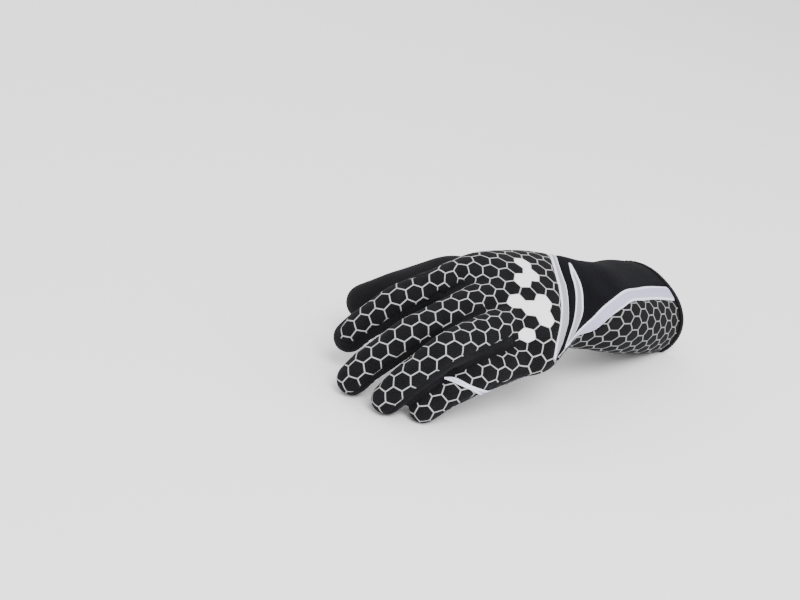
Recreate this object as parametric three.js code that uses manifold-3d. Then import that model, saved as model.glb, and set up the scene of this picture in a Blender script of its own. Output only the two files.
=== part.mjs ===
// Sim racing glove for the left hand, lying palm down with relaxed, bent fingers.
// Millimetres, +Z up. Fingers point to -X, the cuff to +X and the thumb lies on the +Y side.
import * as THREE from 'three';
import Module from 'manifold-3d';
import { mergeVertices } from 'three/addons/utils/BufferGeometryUtils.js';

const wasm = await Module();
wasm.setup();

// Cloth and clearances
const WALL = 1.7;
const SEAM_GAP = 0.35;
const WRIST_GAP = 0.55;
const SKIN_GAP = 0.3;
const PATCH_THICKNESS = 0.7;
const HEM_WIDTH = 4;
const HEM_PROUD = 0.5;
const HEM_INNER = -2.2;

// Pose of the hand: the wrist stands this high, knuckles pitched up, thumb side rolled up
const WRIST_HEIGHT = 44.8;
const HAND_PITCH = 7;
const HAND_ROLL = 24;

// Sections from the cuff's open end to the edge of the finger webs, in the hand's own frame
const BODY_COLUMNS = ['station', 'x', 'y', 'z', 'thumbSide', 'littleSide', 'rise', 'drop', 'yaw', 'pitch'];
const BODY_ROWS = [
  [0, 97, 20, -24, 33, 33, 25.5, 21, 12, 14],
  [34, 63.5, 13.5, -16.5, 34, 34, 26, 21.5, 11, 14],
  [61, 37, 7.5, -9, 32, 33, 24.5, 22, 9, 11],
  [89, 9.5, 1.5, -1, 30.5, 31, 23, 21.5, 2, 6],
  [114, -15, 0, 1, 33.5, 28.5, 23, 20, -4, 0],
  [132, -33, -1, 2, 38.5, 28.5, 22, 20, 0, 0],
  [153, -54, -3, 2, 41.5, 36, 21, 23, 5, 2],
  [179, -80, -4, 1, 41.5, 45.5, 17, 22, 11, 12],
  [195, -96, -5, -4, 40, 43.5, 12, 13, 12, 24],
  [205, -105, -6, -9, 37, 39, 5, 6, 12, 30],
];
const BODY_END = 205;
const BODY_SQUARENESS = 0.9;

// Fingers and thumb: knuckle, yaw and pitch of the root and of the three bones, bone lengths,
// half widths at the root, the first joint and the tip, and how far the tube starts inside the hand
const DIGITS = {
  index: {
    base: [-90, 23.5, 0.5], yaw: [-3.6, -3.6, -3.6, -3.6], pitch: [14, 37.5, 61.5, 72.5],
    bones: [44, 26, 18.8], halfWidths: [10.8, 10.2, 8.9], back: 24,
  },
  middle: {
    base: [-94, 2.6, 0.8], yaw: [6.3, 6.3, 6.3, 6.3], pitch: [9, 29.9, 54.9, 74.9],
    bones: [49, 30, 20.3], halfWidths: [10.9, 10.2, 9.1], back: 24,
  },
  ring: {
    base: [-88, -17.6, 2.4], yaw: [9, 9, 9, 9], pitch: [5, 15.9, 55.9, 72.9],
    bones: [46, 29, 23], halfWidths: [10.5, 9.8, 8.8], back: 24,
  },
  little: {
    base: [-77, -34.4, -4.5], yaw: [6.2, 6.2, 6.2, 6.2], pitch: [7, 20.8, 35.3, 53.3],
    bones: [36, 21, 23.5], halfWidths: [9.8, 9.1, 8.2], back: 10,
  },
  thumb: {
    base: [-16, 18, -6], yaw: [-32.5, -32.5, -9, -9], pitch: [20, 20, 35, 38],
    bones: [61, 35, 31], halfWidths: [13.5, 12.6, 10.4], back: 6,
  },
};
const DIGIT_SQUARENESS = 0.92;
const DIGIT_HEIGHT = 0.97;

// Edges drawn on the cuff and wrist. Angles run from the thumb side (0) over the back of the
// hand (90) to the little finger side (180) and under the palm (270).
const WRIST_FRONT = [ // angle, station of the hand side of the wrist stripe
  [-30, 112], [0, 116], [39, 124.8], [77, 139.2], [96.5, 148.2], [115, 156], [128.5, 164.2],
  [140.5, 172.5], [153, 176.5], [165, 176], [180, 166], [200, 150], [230, 132], [270, 118], [300, 112],
];
const WRIST_REAR = [ // angle, station of the cuff side of the wrist stripe
  [-42, 111.5], [-25, 108.4], [0, 112], [40, 120.2], [77.5, 133.2], [99, 140.8], [119, 148],
  [134.5, 154.2], [147, 163.5], [156, 170.5], [168, 173.6], [180, 165.6], [200, 149.6], [230, 131.6],
  [270, 117.6], [300, 112],
];
const CRESCENT_FRONT = [[66, 121.6], [89, 130.2], [113, 137.8], [133.5, 146.8], [148.5, 157], [159, 164]];
const CRESCENT_REAR = [[66, 120.4], [87.5, 124.2], [115.5, 130.2], [141, 137.5], [154, 148], [159, 156]];
const SWOOSH = [ // station and angle of the upper edge, station and angle of the lower edge
  [171, 166, 171, 168.5],
  [147, 162.5, 146, 171],
  [134.8, 158.5, 128, 170],
  [124, 146, 114.5, 160],
  [112, 127.5, 104, 139],
  [93.8, 106.5, 88, 120],
  [56, 96.5, 56, 113],
  [4.3, 95, 4.3, 113.5],
];
const PALM_STRIPE = [ // station, angle of the little finger side edge, angle of the thumb side edge
  [4.3, 305, 322], [40, 307, 321], [70, 316, 326], [112, 332, 337],
];

// Grip patches: station, angle where the patch begins, angle where it ends
const HEEL_PATCH = [
  [127, 258, 280], [130, 246, 291], [138, 229, 302], [150, 215, 305], [162, 208, 300],
  [172, 206, 302], [182, 208, 316], [190, 212, 322], [195, 224, 312],
];
const THUMB_BASE_PATCH = [
  [24, 252, 272], [29, 238, 290], [40, 226, 300], [52, 226, 300], [62, 236, 290], [67, 250, 272],
];
const THUMB_TIP_PATCH = [[80, 216, 300], [94, 208, 304], [108, 214, 300], [116, 226, 288], [120, 244, 268]];
const SIDE_STRIPE = [[30, 206, 228], [38, 168, 200], [45.3, 121, 145], [50.5, 76, 105], [54.5, 56, 66]];

// Splines, easing and the hand's frame

function spline(at, knots, values) {
  const last = knots.length - 1;
  const x = Math.min(Math.max(at, knots[0]), knots[last]);
  const width = knots.slice(1).map((k, i) => k - knots[i]);
  const slope = width.map((w, i) => (values[i + 1] - values[i]) / w);
  const tangent = knots.map((_, i) => {
    if (i === 0) return slope[0];
    if (i === last) return slope[last - 1];
    return (slope[i - 1] * width[i] + slope[i] * width[i - 1]) / (width[i] + width[i - 1]);
  });
  let i = 0;
  while (i < last - 1 && x >= knots[i + 1]) i += 1;
  const h = width[i];
  const t = (x - knots[i]) / h;
  return (2 * t ** 3 - 3 * t ** 2 + 1) * values[i] + (t ** 3 - 2 * t ** 2 + t) * h * tangent[i]
    + (3 * t ** 2 - 2 * t ** 3) * values[i + 1] + (t ** 3 - t ** 2) * h * tangent[i + 1];
}

function column(rows, key, value) {
  const sorted = [...rows].sort((a, b) => a[key] - b[key]);
  const knots = sorted.map((row) => row[key]);
  const values = sorted.map((row) => row[value]);
  return (at) => spline(at, knots, values);
}

function around(rows) {
  const turns = [-360, 0, 360].flatMap((turn) => rows.map(([angle, station]) => [angle + turn, station]));
  return column(turns, 0, 1);
}

function ease(x) {
  const t = Math.min(Math.max(x, 0), 1);
  return t * t * (3 - 2 * t);
}

const radians = THREE.MathUtils.degToRad;
const power = (value, exponent) => Math.sign(value) * Math.abs(value) ** exponent;
const AXIS_X = new THREE.Vector3(1, 0, 0);
const AXIS_Y = new THREE.Vector3(0, 1, 0);
const AXIS_Z = new THREE.Vector3(0, 0, 1);

function turnToHand(vector) {
  return vector.applyAxisAngle(AXIS_X, radians(HAND_ROLL)).applyAxisAngle(AXIS_Y, radians(HAND_PITCH));
}

function placeInHand(vector) {
  return turnToHand(vector).add(new THREE.Vector3(0, 0, WRIST_HEIGHT));
}

// Surfaces of the hand and cuff, and of a finger

const bodyColumn = Object.fromEntries(BODY_COLUMNS.map((name, i) => [name, column(BODY_ROWS, 0, i)]));

function bodyPoint(station, angle, offset = 0) {
  const a = radians(angle);
  const side = Math.cos(a) > 0 ? bodyColumn.thumbSide(station) : bodyColumn.littleSide(station);
  const height = Math.sin(a) > 0 ? bodyColumn.rise(station) : bodyColumn.drop(station);
  const point = new THREE.Vector3(
    0,
    (side + offset) * power(Math.cos(a), BODY_SQUARENESS),
    (height + offset) * power(Math.sin(a), BODY_SQUARENESS),
  );
  point.applyAxisAngle(AXIS_Y, radians(bodyColumn.pitch(station)));
  point.applyAxisAngle(AXIS_Z, radians(bodyColumn.yaw(station)));
  point.add(new THREE.Vector3(bodyColumn.x(station), bodyColumn.y(station), bodyColumn.z(station)));
  return placeInHand(point);
}

function digitFrame(digit, station) {
  const [first, second] = digit.bones;
  const shares = [
    (station + 12) / 24, (station - first + 10) / 20, (station - first - second + 8) / 16,
  ].map(ease);
  const mix = (list) => list[0] + shares.reduce((sum, share, i) => sum + share * (list[i + 1] - list[i]), 0);
  const yaw = radians(mix(digit.yaw));
  const pitch = radians(mix(digit.pitch));
  const turn = (x, y, z) => turnToHand(new THREE.Vector3(x, y, z).applyAxisAngle(AXIS_Z, yaw));
  return {
    along: turn(-Math.cos(pitch), 0, -Math.sin(pitch)),
    across: turn(0, 1, 0),
    up: turn(-Math.sin(pitch), 0, Math.cos(pitch)),
  };
}

function traceDigit(digit) {
  const step = 0.5;
  const length = digit.bones.reduce((sum, bone) => sum + bone, 0);
  const knuckle = placeInHand(new THREE.Vector3(...digit.base));
  const walk = (distance) => {
    const centre = knuckle.clone();
    const count = Math.max(1, Math.ceil(Math.abs(distance) / step));
    const stride = distance / count;
    for (let i = 0; i < count; i += 1) {
      centre.addScaledVector(digitFrame(digit, (i + 0.5) * stride).along, stride);
    }
    return centre;
  };
  return { ...digit, length, centreAt: walk };
}

const digits = Object.fromEntries(Object.entries(DIGITS).map(([name, digit]) => [name, traceDigit(digit)]));

function digitPoint(digit, station, angle, offset = 0, capped = true) {
  const frame = digitFrame(digit, station);
  const [root, middle, tip] = digit.halfWidths;
  const halfWidth = spline(station, [-digit.back, digit.bones[0], digit.length], [root, middle, tip]);
  const capLength = tip * 1.15;
  const share = Math.min(Math.max((station - digit.length + capLength) / capLength, 0), 1);
  const cap = capped ? Math.sqrt(Math.max(0, 1 - share ** 2.3)) : 1;
  const radius = (halfWidth + offset) * cap;
  const a = radians(angle);
  return digit.centreAt(station)
    .addScaledVector(frame.across, radius * power(Math.cos(a), DIGIT_SQUARENESS))
    .addScaledVector(frame.up, radius * DIGIT_HEIGHT * power(Math.sin(a), DIGIT_SQUARENESS));
}

// The cloth lies flat where it meets the surface underneath
function rest(point, floor = 0) {
  point.z = Math.max(point.z, floor);
  return point;
}

// Closed meshes from rings and from thick patches

const steps = (from, to, count) => (
  Array.from({ length: count + 1 }, (_, i) => from + ((to - from) * i) / count));

function geometryFrom(points, faces) {
  const geometry = new THREE.BufferGeometry();
  geometry.setAttribute('position', new THREE.Float32BufferAttribute(points.flatMap((p) => p.toArray()), 3));
  geometry.setIndex(faces.flat());
  const volume = faces.reduce((sum, [a, b, c]) => (
    sum + points[a].dot(new THREE.Vector3().crossVectors(points[b], points[c]))), 0);
  if (volume < 0) geometry.setIndex(faces.flatMap(([a, b, c]) => [a, c, b]));
  return geometry;
}

function loft(rings) {
  const count = rings[0].length;
  const points = rings.flat();
  const faces = [];
  for (let r = 0; r < rings.length - 1; r += 1) {
    for (let i = 0; i < count; i += 1) {
      const a = r * count + i;
      const b = r * count + ((i + 1) % count);
      faces.push([a, b, b + count], [a, b + count, a + count]);
    }
  }
  const close = (start, reversed) => {
    const centre = new THREE.Vector3();
    for (let i = 0; i < count; i += 1) centre.addScaledVector(points[start + i], 1 / count);
    points.push(centre);
    for (let i = 0; i < count; i += 1) {
      const pair = [start + i, start + ((i + 1) % count)];
      if (reversed) pair.reverse();
      faces.push([points.length - 1, pair[1], pair[0]]);
    }
  };
  close(0, false);
  close((rings.length - 1) * count, true);
  return geometryFrom(points, faces);
}

function thickPatch(across, along, pointAt, inner, outer) {
  const layers = [inner, outer].map((offset) => (
    steps(0, 1, across).map((u) => steps(0, 1, along).map((v) => pointAt(u, v, offset)))));
  const points = layers.flat(2);
  const index = (layer, i, j) => (layer * (across + 1) + i) * (along + 1) + j;
  const faces = [];
  const quad = (a, b, c, d) => faces.push([a, b, c], [a, c, d]);
  for (let i = 0; i < across; i += 1) {
    for (let j = 0; j < along; j += 1) {
      quad(index(1, i, j), index(1, i + 1, j), index(1, i + 1, j + 1), index(1, i, j + 1));
      quad(index(0, i, j), index(0, i, j + 1), index(0, i + 1, j + 1), index(0, i + 1, j));
    }
    quad(index(0, i, 0), index(0, i + 1, 0), index(1, i + 1, 0), index(1, i, 0));
    quad(index(1, i, along), index(1, i + 1, along), index(0, i + 1, along), index(0, i, along));
  }
  for (let j = 0; j < along; j += 1) {
    quad(index(1, 0, j), index(1, 0, j + 1), index(0, 0, j + 1), index(0, 0, j));
    quad(index(0, across, j), index(0, across, j + 1), index(1, across, j + 1), index(1, across, j));
  }
  return geometryFrom(points, faces);
}

function toSolid(geometry) {
  const bare = geometry.clone();
  bare.deleteAttribute('normal');
  bare.deleteAttribute('uv');
  const merged = mergeVertices(bare, 1e-4);
  return new wasm.Manifold(new wasm.Mesh({
    numProp: 3,
    vertProperties: new Float32Array(merged.attributes.position.array),
    triVerts: new Uint32Array(merged.index.array),
  }));
}

function fromSolid(solid) {
  const mesh = solid.getMesh();
  const geometry = new THREE.BufferGeometry();
  geometry.setAttribute('position', new THREE.Float32BufferAttribute(Array.from(mesh.vertProperties), 3));
  geometry.setIndex(Array.from(mesh.triVerts));
  return mergeVertices(geometry, 1e-4);
}

const joined = (solids) => solids.reduce((sum, solid) => sum.add(solid));

// Connected bodies of a cut solid, largest first; crumbs that a cut leaves behind are not used
function bodies(solid) {
  const geometry = fromSolid(solid);
  const index = Array.from(geometry.index.array);
  const parent = Array.from({ length: geometry.attributes.position.count }, (_, i) => i);
  const find = (i) => {
    let root = i;
    while (parent[root] !== root) root = parent[root];
    while (parent[i] !== root) [i, parent[i]] = [parent[i], root];
    return root;
  };
  for (let i = 0; i < index.length; i += 3) {
    parent[find(index[i])] = find(index[i + 1]);
    parent[find(index[i + 1])] = find(index[i + 2]);
  }
  const groups = new Map();
  for (let i = 0; i < index.length; i += 3) {
    const root = find(index[i]);
    if (!groups.has(root)) groups.set(root, []);
    groups.get(root).push(index[i], index[i + 1], index[i + 2]);
  }
  const { position } = geometry.attributes;
  return [...groups.values()].sort((one, two) => two.length - one.length).map((faces) => {
    const used = [...new Set(faces)];
    const place = new Map(used.map((old, i) => [old, i]));
    const points = used.map((old) => new THREE.Vector3().fromBufferAttribute(position, old));
    const body = new THREE.BufferGeometry().setFromPoints(points);
    body.setIndex(faces.map((old) => place.get(old)));
    return body;
  });
}

const mainBody = (solid) => bodies(solid)[0];

// Hand: one skin of hand and fingers, hollow, open at the wrist

const wristFront = around(WRIST_FRONT);
const wristRear = around(WRIST_REAR);
const fullTurn = (count) => steps(0, 360, count).slice(0, -1);

function handSolid(offset, startShift, floor, count, ringCount) {
  const end = BODY_END + offset;
  const rings = steps(0, 1, ringCount).map((t) => fullTurn(count).map((angle) => {
    const start = wristFront(angle) + startShift;
    return rest(bodyPoint(start + (end - start) * t, angle, offset), floor);
  }));
  // The opening's edge is square to the cloth
  rings.unshift(fullTurn(count).map((angle) => (
    rest(bodyPoint(wristFront(angle) + startShift, angle, offset - 3), floor))));
  return toSolid(loft(rings));
}

function digitStations(digit, count, shares) {
  const tip = digit.halfWidths[2] * 1.15;
  return steps(-digit.back, digit.length - tip, count)
    .concat(shares.map((share) => digit.length - tip * (1 - share)));
}

function digitSolid(digit, offset, floor, count, ringCount, shares) {
  const pull = Math.min(offset, 0);
  const rings = digitStations(digit, ringCount, shares).map((station, i) => fullTurn(count).map((angle) => {
    const point = digitPoint(digit, station, angle, offset);
    if (i > ringCount) point.addScaledVector(digitFrame(digit, station).along, pull);
    return rest(point, floor);
  }));
  return toSolid(loft(rings));
}

function gloveSolid(offset, wristShift, floor, fine) {
  const [handCount, handRings, digitCount, digitRings] = fine ? [36, 10, 12, 8] : [24, 8, 8, 6];
  const shares = fine ? [0.4, 0.7, 0.88, 0.98] : [0.5, 0.8, 0.97];
  return joined([
    handSolid(offset, wristShift, floor, handCount, handRings),
    ...Object.values(digits).map((digit) => digitSolid(digit, offset, floor, digitCount, digitRings, shares)),
  ]);
}

const cuffStart = HEM_WIDTH + 0.3;

// Shares of the cuff's length: close together where its underside lies flat
const CUFF_RINGS = [0, 0.05, 0.1, 0.25, 0.4, 0.55, 0.7, 0.85, 1];

function cuffSolid(offset, startShift, endShift, floor, count, edgeDepth = 3) {
  const rings = CUFF_RINGS.map((t) => fullTurn(count).map((angle) => {
    const start = cuffStart + startShift;
    const end = wristFront(angle) + endShift;
    return rest(bodyPoint(start + (end - start) * t, angle, offset), floor);
  }));
  const edge = (shift) => fullTurn(count).map((angle) => (
    rest(bodyPoint(wristFront(angle) + shift, angle, offset - edgeDepth), floor)));
  return toSolid(loft(rings.concat([edge(endShift)])));
}

const outside = gloveSolid(0, WRIST_GAP, 0, true);
const inside = gloveSolid(-WALL, -16, WALL, false);
// The root of the little finger is trimmed where the wrist begins
const behindWrist = cuffSolid(8, 80, WRIST_GAP, -50, 36, 11);
const skin = outside.subtract(inside).subtract(behindWrist);

// The underside of the hand and fingers, up to the side seams

function undersideOfHand(lift) {
  const seam = { thumb: 12, little: 12 };
  const stations = steps(96, BODY_END, 8).concat(BODY_END);
  const forward = turnToHand(new THREE.Vector3(-6 - lift, 0, -2));
  const rings = stations.map((station, i) => {
    const ring = steps(180 + seam.little, 360 + seam.thumb, 8).map((angle) => (
      bodyPoint(station, angle, 4 + lift)));
    const up = turnToHand(new THREE.Vector3(0, 0, lift));
    [ring[0], ring[8]].forEach((point) => point.add(up));
    if (i === stations.length - 1) ring.forEach((point) => point.add(forward));
    return ring;
  });
  return toSolid(loft(rings));
}

function undersideOfDigit(digit, seam, lift) {
  const stations = digitStations(digit, 9, []).filter((station) => station > 4);
  stations.unshift(3 - lift);
  stations.push(digit.length + 4 + lift);
  const rings = stations.map((station) => {
    const ring = steps(180 - seam.little, 360 + seam.thumb, 6).map((angle) => (
      digitPoint(digit, station, angle, 3 + lift, false)));
    const up = digitFrame(digit, station).up.multiplyScalar(lift);
    [ring[0], ring[6]].forEach((point) => point.add(up));
    return ring;
  });
  return toSolid(loft(rings));
}

const FINGER_SEAMS = {
  index: { thumb: 10, little: 20 },
  middle: { thumb: 18, little: 20 },
  ring: { thumb: 18, little: 20 },
  little: { thumb: 18, little: -12 },
};
const underside = (lift) => joined([
  undersideOfHand(lift),
  ...Object.entries(FINGER_SEAMS).map(([name, seam]) => undersideOfDigit(digits[name], seam, lift)),
]);

// The thumb is sewn in round its base
function thumbRoom(grow) {
  const stations = steps(-4 - grow, digits.thumb.length + 4, 8);
  const rings = stations.map((station) => fullTurn(12).map((angle) => (
    digitPoint(digits.thumb, station, angle, 3 + grow, false))));
  return toSolid(loft(rings));
}

const thumbSkin = skin.intersect(thumbRoom(0));
const handSkin = skin.subtract(thumbRoom(SEAM_GAP));
const palmRoom = underside(0);
const palmSkin = handSkin.intersect(palmRoom);
const backSkin = handSkin.subtract(palmRoom.add(underside(SEAM_GAP)));

// Patches that lie on the skin follow it with a small gap
const clearOfSkin = gloveSolid(SKIN_GAP, WRIST_GAP, -1, true);

function skinPatch(rows, surface, across, along) {
  const from = column(rows, 0, 1);
  const to = column(rows, 0, 2);
  const first = rows[0][0];
  const last = rows[rows.length - 1][0];
  const slab = thickPatch(across, along, (u, v, offset) => {
    const station = first + (last - first) * v;
    return surface(station, from(station) + (to(station) - from(station)) * u, offset);
  }, -2.5, SKIN_GAP + PATCH_THICKNESS);
  return mainBody(toSolid(slab).subtract(clearOfSkin));
}

const onThumb = (station, angle, offset) => digitPoint(digits.thumb, station, angle, offset);
const onLittle = (station, angle, offset) => digitPoint(digits.little, station, angle, offset);

// Cuff: panels cut along the stripes, a stripe being sewn in between its neighbours

const swooshUpper = column(SWOOSH, 0, 1);
const swooshLower = column(SWOOSH, 2, 3);
const palmStripeLittle = column(PALM_STRIPE, 0, 1);
const palmStripeThumb = column(PALM_STRIPE, 0, 2);

const cuffTube = cuffSolid(0, 0, 0, 0, 36).subtract(cuffSolid(-WALL, -6, 14, WALL, 24));

// Room for a stripe: a thick sheet through the cloth, wider all round where it grows
function stripeRoom(fromAngle, toAngle, endStation, across, along, grow) {
  return toSolid(thickPatch(across, along, (u, v, offset) => {
    let station = 90 * v;
    let angle = 0;
    for (let pass = 0; pass < 24; pass += 1) {
      angle = fromAngle(station) + (toAngle(station) - fromAngle(station)) * u;
      const target = -2 + (endStation(angle) + 2) * v;
      station += (target - station) * 0.6;
    }
    return bodyPoint(station, angle, offset);
  }, -WALL - 3 - grow, 3 + grow));
}

const cuffEnd = (grow) => (angle) => wristRear(angle) - SEAM_GAP + grow;

const wristRoom = (grow) => toSolid(thickPatch(20, 1, (u, v, offset) => {
  const angle = -34 - grow + (194 + 2 * grow) * u;
  const rear = wristRear(angle) - grow;
  return bodyPoint(rear + (wristFront(angle) + 2 - rear) * v, angle, offset);
}, -WALL - 3, 3));

const swooshRoom = (grow) => stripeRoom(
  (s) => swooshUpper(s) - grow * 2.4, (s) => swooshLower(s) + grow * 2.4,
  grow > 0 ? (angle) => wristFront(angle) + 2 : cuffEnd(0), 1, 20, grow,
);

const palmStripeRoom = (grow) => stripeRoom(
  (s) => palmStripeLittle(s) - grow * 2, (s) => palmStripeThumb(s) + grow * 2, cuffEnd(grow), 1, 8, grow,
);

const rooms = [wristRoom, swooshRoom, palmStripeRoom];
const allRooms = joined(rooms.flatMap((room) => [room(SEAM_GAP), room(0)]));
const panels = bodies(cuffTube.subtract(allRooms)).slice(0, 2);
const meanHeight = (geometry) => {
  geometry.computeBoundingBox();
  return geometry.boundingBox.getCenter(new THREE.Vector3()).z;
};
panels.sort((one, two) => meanHeight(two) - meanHeight(one));
const [wristStripe, swoosh, palmStripe] = rooms.map((room) => mainBody(cuffTube.intersect(room(0))));

const crescentFront = column(CRESCENT_FRONT, 0, 1);
const crescentRear = column(CRESCENT_REAR, 0, 1);
const crescentRoom = toSolid(thickPatch(16, 1, (u, v, offset) => {
  const angle = 66 + (159 - 66) * u;
  return bodyPoint(crescentRear(angle) + (crescentFront(angle) - crescentRear(angle)) * v, angle, offset);
}, -2, 3));
const layerOnCuff = cuffSolid(SKIN_GAP + PATCH_THICKNESS, 0, 0, 0, 36)
  .subtract(cuffSolid(SKIN_GAP, 0, 0, 0, 36));
const crescent = mainBody(layerOnCuff.intersect(crescentRoom));

// Hem: a rolled binding round the open end
function hemRing(angle) {
  const profile = [
    [0.9, HEM_INNER], [0, HEM_INNER + 0.8], [0, HEM_PROUD - 0.8], [0.9, HEM_PROUD],
    [HEM_WIDTH - 0.5, HEM_PROUD], [HEM_WIDTH, HEM_PROUD - 0.5], [HEM_WIDTH, HEM_INNER],
  ];
  return profile.map(([station, offset]) => {
    const floor = offset < -1 ? -HEM_INNER : 0;
    return rest(bodyPoint(station, angle, offset), floor);
  });
}

function closedBand(ringAt, count) {
  const rings = fullTurn(count).map(ringAt);
  const size = rings[0].length;
  const faces = [];
  for (let r = 0; r < count; r += 1) {
    for (let i = 0; i < size; i += 1) {
      const a = r * size + i;
      const b = r * size + ((i + 1) % size);
      const c = ((r + 1) % count) * size + i;
      const d = ((r + 1) % count) * size + ((i + 1) % size);
      faces.push([a, b, d], [a, d, c]);
    }
  }
  return geometryFrom(rings.flat(), faces);
}

// Materials
const material = (color, roughness) => new THREE.MeshStandardMaterial({ color, roughness, metalness: 0 });
const SOFTSHELL = material('#232327', 0.85);
const BLACK_KNIT = material('#17171a', 0.9);
const CUFF_CLOTH = material('#202026', 0.8);
const STRIPE_TAPE = material('#c6c8d2', 0.6);
const GRIP_SUEDE = material('#8d8d93', 0.95);
const BINDING = material('#101012', 0.85);

const pieces = [
  ['hand_back_panel', mainBody(backSkin), SOFTSHELL],
  ['hand_palm_panel', mainBody(palmSkin), BLACK_KNIT],
  ['thumb_tube', mainBody(thumbSkin), BLACK_KNIT],
  ['palm_grip_patch', skinPatch(HEEL_PATCH, bodyPoint, 9, 8), GRIP_SUEDE],
  ['thumb_base_patch', skinPatch(THUMB_BASE_PATCH, onThumb, 8, 8), GRIP_SUEDE],
  ['thumb_tip_patch', skinPatch(THUMB_TIP_PATCH, onThumb, 8, 8), GRIP_SUEDE],
  ['little_finger_stripe', skinPatch(SIDE_STRIPE, onLittle, 3, 14), STRIPE_TAPE],
  ['wrist_stripe', wristStripe, STRIPE_TAPE],
  ['crescent_stripe', crescent, STRIPE_TAPE],
  ['cuff_top_panel', panels[0], CUFF_CLOTH],
  ['cuff_side_panel', panels[1], SOFTSHELL],
  ['cuff_back_stripe', swoosh, STRIPE_TAPE],
  ['cuff_palm_stripe', palmStripe, STRIPE_TAPE],
  ['cuff_hem', closedBand(hemRing, 36), BINDING],
];

const glove = new THREE.Group();
for (const [name, geometry, look] of pieces) {
  const mesh = new THREE.Mesh(geometry, look);
  mesh.name = name;
  glove.add(mesh);
}

// The origin is under the middle of the whole glove, on the surface that it lies on
const box = new THREE.Box3().setFromObject(glove);
const centre = box.getCenter(new THREE.Vector3());
for (const mesh of glove.children) mesh.geometry.translate(-centre.x, -centre.y, -box.min.z);

export default glove;
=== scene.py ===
"""Sim racing glove: one left-hand glove lying palm down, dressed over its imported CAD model."""
from functools import lru_cache

import bpy
import numpy as np
from mathutils import Matrix


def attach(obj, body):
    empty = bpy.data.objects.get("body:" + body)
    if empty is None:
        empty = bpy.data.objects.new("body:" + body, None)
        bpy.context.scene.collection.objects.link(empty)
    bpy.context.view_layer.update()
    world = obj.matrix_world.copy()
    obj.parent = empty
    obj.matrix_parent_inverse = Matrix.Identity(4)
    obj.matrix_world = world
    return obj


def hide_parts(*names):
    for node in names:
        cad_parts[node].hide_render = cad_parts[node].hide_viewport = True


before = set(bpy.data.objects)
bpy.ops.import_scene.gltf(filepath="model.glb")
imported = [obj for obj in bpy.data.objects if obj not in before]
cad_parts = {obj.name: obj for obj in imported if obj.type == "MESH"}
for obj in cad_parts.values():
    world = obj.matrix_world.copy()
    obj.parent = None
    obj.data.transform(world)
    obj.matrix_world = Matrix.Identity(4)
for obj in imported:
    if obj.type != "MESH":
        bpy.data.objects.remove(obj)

bl_info = {
    "name": "Sim racing glove",
    "version": (1, 0, 0),
    "blender": (4, 5, 0),
    "location": "3D View > Sidebar > Glove",
    "description": "Builds a cloth glove with a honeycomb print, grip patches and curved stripes",
    "category": "Object",
}

MM = 0.001
# From the glove's own frame to the row's, in mm
SHIFT = np.array([33.1254, -19.9690, 0.0])
# Height of the wrist's axis in mm, and the hand's pitch and roll in degrees
WRIST_HEIGHT, HAND_PITCH, HAND_ROLL = 44.8, 7, 24
# Stations where the finger roots and the hand end, and how square its sections are (1 is round)
ROOTS, BODY_END, BODY_SQUARENESS = 190, 205, 0.9
# A digit's squareness, its height for its width, and its cap's length in half widths
DIGIT_SQUARENESS, DIGIT_HEIGHT, CAP = 0.92, 0.97, 1.15
# Width of the hem, and how much ring and little finger swell at their roots, in mm
HEM_WIDTH, PLUMP = 4, 1.0
# Mean radii of hand and digits, for their threads, in mm
HAND_RADIUS, DIGIT_RADIUS = 32.0, 10.5
# Length that one degree spans round the hand and cuff, and round a finger, in mm
DEGREE, FINGER_DEGREE = np.pi / 180 * 34.0, 0.18
# Values of a seam's field well inside and well outside
INSIDE, OUTSIDE = 99, -9

# Sections of hand and cuff: place, half widths to the thumb and little side, rise, drop, turn
BODY = np.array([
    # station, x, y, z, thumb side, little side, rise, drop, yaw, pitch
    [0, 97, 20, -24, 33, 33, 25.5, 21, 12, 14],
    [34, 63.5, 13.5, -16.5, 34, 34, 26, 21.5, 11, 14],
    [61, 37, 7.5, -9, 32, 33, 24.5, 22, 9, 11],
    [89, 9.5, 1.5, -1, 30.5, 31, 23, 21.5, 2, 6],
    [114, -15, 0, 1, 33.5, 28.5, 23, 20, -4, 0],
    [132, -33, -1, 2, 38.5, 28.5, 22, 20, 0, 0],
    [153, -54, -3, 2, 41.5, 36, 21, 23, 5, 2],
    [179, -80, -4, 1, 41.5, 45.5, 17, 22, 11, 12],
    [195, -96, -5, -4, 40, 43.5, 12, 13, 12, 24],
    [205, -105, -6, -9, 37, 39, 5, 6, 12, 30],
], float)

DIGITS = {
    "index": dict(base=(-90, 23.5, 0.5), yaw=(-3.6,) * 4, pitch=(14, 37.5, 61.5, 72.5),
                  bones=(44, 26, 18.8), half=(10.8, 10.2, 8.9), back=24),
    "middle": dict(base=(-94, 2.6, 0.8), yaw=(6.3,) * 4, pitch=(9, 29.9, 54.9, 74.9),
                   bones=(49, 30, 20.3), half=(10.9, 10.2, 9.1), back=24),
    "ring": dict(base=(-88, -17.6, 2.4), yaw=(9,) * 4, pitch=(5, 15.9, 55.9, 72.9),
                 bones=(46, 29, 23), half=(10.5, 9.8, 8.8), back=24),
    "little": dict(base=(-77, -34.4, -4.5), yaw=(6.2,) * 4, pitch=(7, 20.8, 35.3, 53.3),
                   bones=(36, 21, 23.5), half=(9.8, 9.1, 8.2), back=10),
    "thumb": dict(base=(-16, 18, -6), yaw=(-32.5, -32.5, -9, -9), pitch=(20, 20, 35, 38),
                  bones=(61, 35, 31), half=(13.5, 12.6, 10.4), back=6),
}

# Seams above each finger's side line, in degrees: thumb side, little side
FINGER_SEAMS = {"index": (10, 20), "middle": (18, 20), "ring": (18, 20), "little": (18, -12)}

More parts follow.
